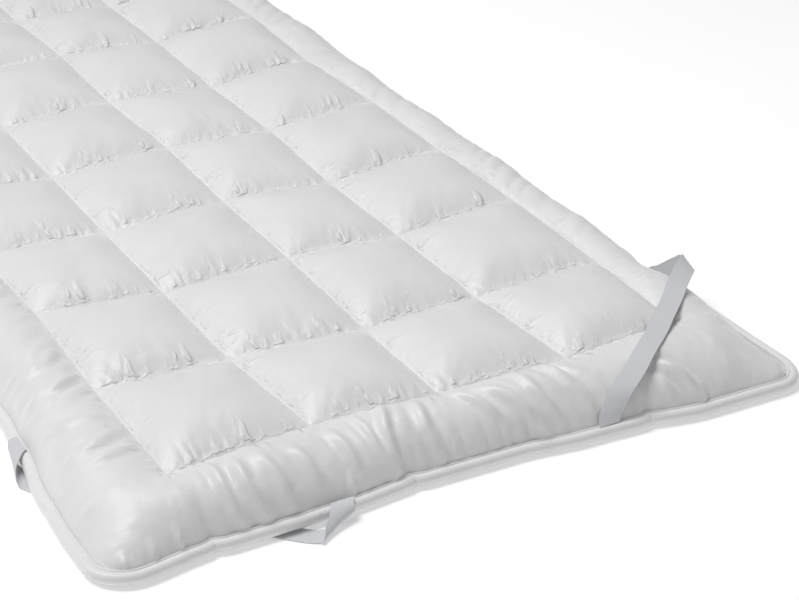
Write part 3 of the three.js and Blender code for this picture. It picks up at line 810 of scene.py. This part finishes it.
def creases(nodes, along, across, kind):
    """Narrow ridges square to a seam or the rim, in clumps along it."""
    spacing, spread, low, high, clumps, rise = kind
    side, part = nodes.mark("seam_side"), nodes.mark("seam_part")
    place = nodes.add("ShaderNodeCombineXYZ", in_0=nodes.math("DIVIDE", along, spacing),
                      in_1=nodes.math("DIVIDE", across, spread), in_2=nodes.product(side, 1.7))
    ridge = nodes.noise(place.outputs[0], in_Scale=1.0, in_Detail=1.0, in_Distortion=0.25)
    ridge = nodes.change(ridge, low, high, 0.0, 1.0, "SMOOTHSTEP")
    place = nodes.add("ShaderNodeCombineXYZ", in_0=nodes.math("DIVIDE", along, clumps),
                      in_2=nodes.product(side, 1.1))
    clump = nodes.noise(place.outputs[0], in_Scale=1.0, in_Detail=1.0)
    strong = nodes.change(clump, 0.38, 0.62, 0.15, 1.0)
    outward = nodes.math("DIVIDE", across, nodes.product(strong, spread))
    fade = nodes.math("EXPONENT", nodes.product(nodes.math("POWER", outward, 2.0), -1.0))
    rising = nodes.change(across, 0.0, 0.006, 0.0, 1.0, "SMOOTHSTEP")
    fade = nodes.product(fade, part, rising)
    return nodes.product(nodes.product(ridge, strong, fade), rise)


def satin_material(settings):
    nodes = cloth_nodes("satin cotton", settings.satin_colour, 0.40, 2600, specular=0.42, sheen=0.25)
    nodes.shader.inputs["Sheen Roughness"].default_value = 0.35
    across, along = nodes.mark("seam_gap"), nodes.mark("seam_run")
    stitch_length = 0.0034
    beat = nodes.math("SINE", nodes.product(along, 2 * math.pi / stitch_length))
    thread = nodes.product(
        nodes.math("GREATER_THAN", beat, -0.35), nodes.math("LESS_THAN", across, 0.0009)
    )
    streaks = nodes.total(
        *[creases(nodes, along, across, kind) for kind in SEAM_CREASES],
        creases(nodes, along, nodes.mark("rim_gap"), RIM_CREASES),
    )
    soft = nodes.noise(nodes.place, in_Scale=38.0, in_Detail=4.0, in_Roughness=0.6, in_Distortion=0.6)
    height = nodes.total(
        nodes.product(nodes.weave, 0.00006), nodes.product(soft, 0.0011),
        nodes.product(thread, 0.00004), streaks,
    )
    # Painted light: near-white is mixed into the satin's base colour beside a row seam, lightening the
    # shade that falls in the seam's valley
    painted_light_by_seam = nodes.change(across, 0.001, 0.009, 0.8, 0.0, "SMOOTHSTEP")
    by_row = nodes.change(nodes.mark("seam_part"), 0.6, 1.0, 0.15, 1.0)
    light = nodes.add("ShaderNodeMix", data_type="RGBA", in_7=(0.97, 0.97, 0.97, 1))
    nodes.tree.links.new(nodes.product(painted_light_by_seam, by_row), light.inputs[0])
    nodes.tree.links.new(nodes.colour, light.inputs[6])
    nodes.tree.links.new(light.outputs[2], nodes.shader.inputs["Base Color"])
    return raised(nodes, height, 0.75)


def piping_material(settings):
    nodes = cloth_nodes("piping bias strip", settings.piping_colour, 0.4, 2400, specular=0.4, sheen=0.2)
    soft = nodes.noise(nodes.place, in_Scale=75.0, in_Detail=3.0, in_Distortion=0.8)
    height = nodes.total(nodes.product(nodes.weave, 0.00006), nodes.product(soft, 0.0009))
    return raised(nodes, height, 0.8)


def elastic_material(settings):
    nodes = cloth_nodes("woven elastic", settings.elastic_colour, 0.6, 900, 0.3, 0.15, coordinates="UV")
    parts = nodes.add("ShaderNodeSeparateXYZ", in_0=nodes.place)
    cords = nodes.ribs(parts.outputs[0], width=0.0016)
    picks = nodes.ribs(parts.outputs[1], width=0.0011)
    ribs = nodes.total(nodes.product(cords, 0.00025), nodes.product(picks, 0.0001))
    return raised(nodes, nodes.total(ribs, nodes.product(nodes.weave, 0.00008)), 0.7)


# Operators

class PROTECTOR_OT_pad(bpy.types.Operator):
    """Sews and fills the quilted pad: its pockets and its border channel"""

    bl_idname = "protector.pad"
    bl_label = "Quilted pad"

    def execute(self, context):
        settings = context.scene.protector
        crown, crest = settings.pocket_crown / MM, settings.border_crest / MM
        across, along = pad_lines(crown, crest)
        a, b = np.meshgrid(across, along, indexing="ij")
        x, y, top, bottom = pad_heights(a, b, crown, crest)
        p, q = pad_place(a, b)[3:]
        outward = np.maximum(p, q)
        on_line = (np.abs(a - np.rint(a)) < 1e-9) | (np.abs(b - np.rint(b)) < 1e-9)
        sewn = ((outward <= 0) & on_line) | (outward > SEWN_RIM)
        marks, seam_gap = seam_marks(a, b, x, y, p, q)
        places = np.stack([x, y, top], -1)
        places = filled(places, sewn, seam_gap, outward, settings)
        height = settings.pucker_height / MM
        fold = seam_puckers(a, b, x, y, height) + border_folds(a, b, x, y, p, q, height)
        fold = fold + fold_ridges(x, y)
        away = smooth_step(0, 5, seam_gap) * (1 - smooth_step(0.96, 1, outward))
        fold = fold + 1.3 * wander(x, y, 60, 41) * away
        places = places + surface_normals(places) * fold[..., None]
        step = UNDERSIDE_STEP
        under = np.stack([x, y, bottom], -1)[::step, ::step]
        cell_a, cell_b = across[:-1:step, None] + 1e-6, along[None, :-1:step] + 1e-6
        quilted = (cell_a > 0) & (cell_a < COLUMNS) & (cell_b > 0) & (cell_b < ROWS)
        satin = satin_material(settings)
        for name, wanted in (("quilted_pockets", quilted), ("border_channel", ~quilted)):
            piece, used = closed_piece(name, places, under, wanted)
            for key, (values, value_below) in marks.items():
                below = np.full(under.shape[0] * under.shape[1], value_below)
                point_values(piece, key, np.r_[values.ravel(), below][used])
            smooth_shading(piece, degrees=75)
            dress(piece, satin, "satin", "quilted_pad")
        return {"FINISHED"}


def rim_line():
    """The pad's rim as a closed run of plan points, anticlockwise."""
    before, after = np.linspace(-1, 0, CORNER_STEPS + 1)[:-1], np.linspace(0, 1, CORNER_STEPS + 1)[1:]
    a, b = (
        np.concatenate([before, np.linspace(0, count, count * POCKET_STEPS + 1), count + after])
        for count in (COLUMNS, ROWS)
    )
    ring_a = np.concatenate([a[:-1], 0 * b[:-1] + COLUMNS + 1, a[:0:-1], 0 * b[:0:-1] - 1])
    ring_b = np.concatenate([0 * a[:-1] - 1, b[:-1], 0 * a[:0:-1] + ROWS + 1, b[:0:-1]])
    return np.stack(pad_place(ring_a, ring_b)[:2], -1)


def even_run(points, spacing):
    closed = np.concatenate([points, points[:1]])
    run = np.r_[0, np.cumsum(np.hypot(*np.diff(closed, axis=0).T))]
    count = int(run[-1] / spacing)
    at = np.arange(count) * run[-1] / count
    return np.stack([np.interp(at, run, closed[:, k]) for k in (0, 1)], -1)


def closed_line(curve, places):
    """Draws a closed line through the places, given in mm, in a curve."""
    spline = curve.splines.new("POLY")
    spline.points.add(len(places) - 1)
    for point, place in zip(spline.points, places):
        point.co = (*(float(value) * MM for value in place), 1)
    spline.use_cyclic_u = True


def piping_section():
    """Outline of the piping: a round cord with the sewn lip of its cover on its inner side."""
    turns = np.radians(np.arange(0, 360, 18))
    outline = [(PIPING_RADIUS * math.cos(t), PIPING_RADIUS * math.sin(t), 0) for t in turns]
    outline = outline[:6] + PIPING_LIP + outline[9:]
    bpy.ops.curve.primitive_nurbs_circle_add(radius=PIPING_RADIUS * MM)
    section = bpy.context.object
    section.data.splines.clear()
    closed_line(section.data, outline)
    return section


class PROTECTOR_OT_piping(bpy.types.Operator):
    """Sweeps the piping, a bias strip sewn over a cord, round the pad's rim"""

    bl_idname = "protector.piping"
    bl_label = "Edge piping"

    def execute(self, context):
        settings = context.scene.protector
        rim = even_run(rim_line(), PIPING_STEP)
        tangent = np.roll(rim, -1, 0) - np.roll(rim, 1, 0)
        tangent /= np.linalg.norm(tangent, axis=1, keepdims=True)
        normal = np.stack([tangent[:, 1], -tangent[:, 0]], -1)
        ring = rim + normal * (PIPING_RADIUS + PIECE_GAP)
        deselect()
        section = piping_section()
        path = bpy.data.curves.new("edge_cord", "CURVE")
        path.dimensions = "3D"
        path.twist_mode = "Z_UP"
        wave = PIPING_WAVE * wander(ring[:, 0], ring[:, 1], 70, 51)
        closed_line(path, np.column_stack([ring, PIPING_HEIGHT + wave]))
        path.bevel_mode = "OBJECT"
        path.bevel_object = section
        piping = bpy.data.objects.new("edge_piping_cord", path)
        context.scene.collection.objects.link(piping)
        only(piping)
        bpy.ops.object.convert(target="MESH")
        bpy.data.objects.remove(section)
        smooth_shading(piping, degrees=50)
        dress(piping, piping_material(settings), "piping", "edge_piping")
        return {"FINISHED"}


def catmull(points, per_gap):
    """Smooth curve through the points, column by column."""
    padded = np.concatenate([[2 * points[0] - points[1]], points, [2 * points[-1] - points[-2]]])
    run = []
    for k in range(len(points) - 1):
        p0, p1, p2, p3 = padded[k:k + 4]
        gap = np.hypot(*(p2 - p1)[:2])
        count = max(2, int(np.ceil(gap / per_gap)))
        for t in np.arange(count) / count:
            run.append(0.5 * (2 * p1 + (p2 - p0) * t + (2 * p0 - 5 * p1 + 4 * p2 - p3) * t * t
                              + (3 * p1 - p0 - 3 * p2 + p3) * t ** 3))
    run.append(points[-1])
    return np.array(run)


def strap_mesh(name, centre, width_way, settings):
    """A flat strap: a grid primitive laid along its line and given its thickness."""
    length = np.linalg.norm(np.diff(centre, axis=0), axis=1)
    run = np.r_[0, np.cumsum(length)] * MM
    deselect()
    bpy.ops.mesh.primitive_grid_add(x_subdivisions=STRAP_CELLS, y_subdivisions=len(centre) - 1, size=1)
    strap = bpy.context.object
    strap.name = name
    mesh = strap.data
    mesh.name = name
    place = np.empty(len(mesh.vertices) * 3)
    mesh.vertices.foreach_get("co", place)
    place = place.reshape(-1, 3)
    across = place[:, 0]
    station = np.rint((place[:, 1] + 0.5) * (len(centre) - 1)).astype(int)
    tangent = np.gradient(centre, axis=0)
    tangent /= np.linalg.norm(tangent, axis=1, keepdims=True)
    slant = np.linalg.norm(np.cross(tangent, width_way), axis=1)
    width = settings.strap_width / np.maximum(slant, WIDEST_SLANT)
    laid = centre[station] * MM + width_way[station] * (across * width[station])[:, None]
    mesh.vertices.foreach_set("co", laid.ravel())
    corner = np.empty(len(mesh.loops), np.int32)
    mesh.loops.foreach_get("vertex_index", corner)
    flat = np.stack([(across[corner] + 0.5) * settings.strap_width, run[station[corner]]], -1)
    mesh.uv_layers[0].data.foreach_set("uv", flat.ravel())
    solid = strap.modifiers.new("thickness", "SOLIDIFY")
    solid.thickness = settings.strap_thickness
    solid.offset = 0
    only(strap)
    bpy.ops.object.modifier_apply(modifier=solid.name)
    smooth_shading(strap, degrees=50)
    return strap, run[-1]


def way_of(turn, rise):
    turn, rise = np.radians(turn), np.radians(rise)
    return np.stack([np.cos(turn) * np.cos(rise), np.sin(turn) * np.cos(rise), np.sin(rise)], -1)


def pad_heights_over(context, settings):
    """Gives a function: the pad's highest point under a strap's width at a place, in mm."""
    graph = context.evaluated_depsgraph_get()
    names = ("quilted_pockets", "border_channel")
    cloths = [BVHTree.FromObject(bpy.data.objects[name], graph) for name in names]
    half = settings.strap_width / 2

    def highest(place, way):
        best = 0
        for side in np.linspace(-half, half, STRAP_RAYS):
            start = Vector((place[0] * MM + side * way[0], place[1] * MM + side * way[1], RAY_START))
            for cloth in cloths:
                hit = cloth.ray_cast(start, Vector((0, 0, -1)))[0]
                if hit is not None:
                    best = max(best, hit.z / MM)
        return best + settings.strap_thickness / 2 / MM

    return highest


def lay_strap(name, centre, way, elastic, settings):
    """Makes one strap, dresses it and hides the CAD part it takes the place of."""
    strap, length = strap_mesh("strap_" + name, centre, way, settings)
    dress(strap, elastic, "elastic", "corner_strap_" + name)


class PROTECTOR_OT_straps(bpy.types.Operator):
    """Lays the four elastic corner straps: three under their corners and one over it"""

    bl_idname = "protector.straps"
    bl_label = "Corner straps"

    def execute(self, context):
        settings = context.scene.protector
        elastic = elastic_material(settings)
        run = catmull(UNDER_STRAP, STRAP_STEP)
        for name, sx, sy in (("front_left", 1, 1), ("back_left", 1, -1), ("back_right", -1, -1)):
            way = way_of(run[:, 3], 0 * run[:, 3]) * (sx, sy, 1)
            lay_strap(name, run[:, :3] * (sx, sy, 1), way, elastic, settings)
        clear = pad_heights_over(context, settings)
        stations = OVER_STRAP.copy()
        for station in stations:
            if np.isnan(station[2]):
                station[2] = clear(station[:2], way_of(station[3], 0)) + STATION_CLEARANCE
        run = catmull(stations, STRAP_STEP)
        way = way_of(run[:, 3], run[:, 4])
        centre = run[:, :3].copy()
        for k in range(SEWN_POINTS, len(run)):
            if centre[k, 0] > LEAVES_PAD_AT:
                break
            centre[k, 2] = max(centre[k, 2], clear(centre[k, :2], way[k]) + STRAP_CLEARANCE)
        centre[1:-1, 2] = 0.25 * centre[:-2, 2] + 0.5 * centre[1:-1, 2] + 0.25 * centre[2:, 2]
        lay_strap("front_right", centre, way, elastic, settings)
        return {"FINISHED"}


class PROTECTOR_OT_studio(bpy.types.Operator):
    """Adds the pale floor, the soft light and the camera"""

    bl_idname = "protector.studio"
    bl_label = "Studio"

    def execute(self, context):
        scene = context.scene
        deselect()
        bpy.ops.mesh.primitive_plane_add(size=30)
        floor = context.object
        floor.name = "studio_floor"
        paper = bpy.data.materials.new("white paper")
        paper.use_nodes = True
        nodes = Nodes(paper.node_tree)
        shader = paper.node_tree.nodes["Principled BSDF"]
        grain = nodes.noise(nodes.add("ShaderNodeTexCoord").outputs["Object"], in_Scale=3)
        tone = nodes.change(grain, 0, 1, 0.93, 0.95)
        paper.node_tree.links.new(tone, shader.inputs["Base Color"])
        values = {"Roughness": 0.9, "Specular IOR Level": 0.1, "Emission Color": (1, 1, 1, 1),
                  "Emission Strength": 0.24}
        for name, value in values.items():
            shader.inputs[name].default_value = value
        floor.data.materials.append(paper)
        world = bpy.data.worlds.new("studio white")
        world.use_nodes = True
        background = world.node_tree.nodes["Background"]
        background.inputs["Color"].default_value = (1, 1, 1, 1)
        background.inputs["Strength"].default_value = 0.31
        scene.world = world
        bpy.ops.object.light_add(type="AREA", location=KEY_PLACE)
        light = context.object
        light.name = "key_light"
        light.data.energy = 66
        light.data.size = 3.2
        light.data.spread = math.radians(90)
        way = Vector(KEY_AIM) - Vector(KEY_PLACE)
        light.rotation_euler = way.to_track_quat("-Z", "Y").to_euler()
        turn = (math.radians(CAMERA_TILT), 0, math.radians(CAMERA_TURN))
        bpy.ops.object.camera_add(location=CAMERA_PLACE, rotation=turn)
        camera = context.object
        camera.data.lens = CAMERA_LENS
        camera.data.clip_start = 0.05
        camera.data.clip_end = 100
        scene.camera = camera
        scene.view_settings.view_transform = "Standard"
        return {"FINISHED"}


class PROTECTOR_PT_panel(bpy.types.Panel):
    """Lists the sizes and colours, and the buttons that make each piece"""

    bl_idname = "PROTECTOR_PT_panel"
    bl_label = "Mattress protector"
    bl_space_type = "VIEW_3D"
    bl_region_type = "UI"
    bl_category = "Bedding"

    def draw(self, context):
        layout = self.layout
        settings = context.scene.protector
        for name in settings.bl_rna.properties.keys():
            if name not in ("rna_type", "name"):
                layout.prop(settings, name)
        for kind in OPERATORS:
            layout.operator(kind.bl_idname)


OPERATORS = (PROTECTOR_OT_pad, PROTECTOR_OT_piping, PROTECTOR_OT_straps, PROTECTOR_OT_studio)
CLASSES = (ProtectorSettings, *OPERATORS, PROTECTOR_PT_panel)


def register():
    for kind in CLASSES:
        bpy.utils.register_class(kind)
    bpy.types.Scene.protector = PointerProperty(type=ProtectorSettings)


def unregister():
    del bpy.types.Scene.protector
    for kind in reversed(CLASSES):
        bpy.utils.unregister_class(kind)


def main():
    register()
    bpy.ops.protector.pad()
    bpy.ops.protector.piping()
    bpy.ops.protector.straps()
    bpy.ops.protector.studio()


if __name__ == "__main__":
    main()
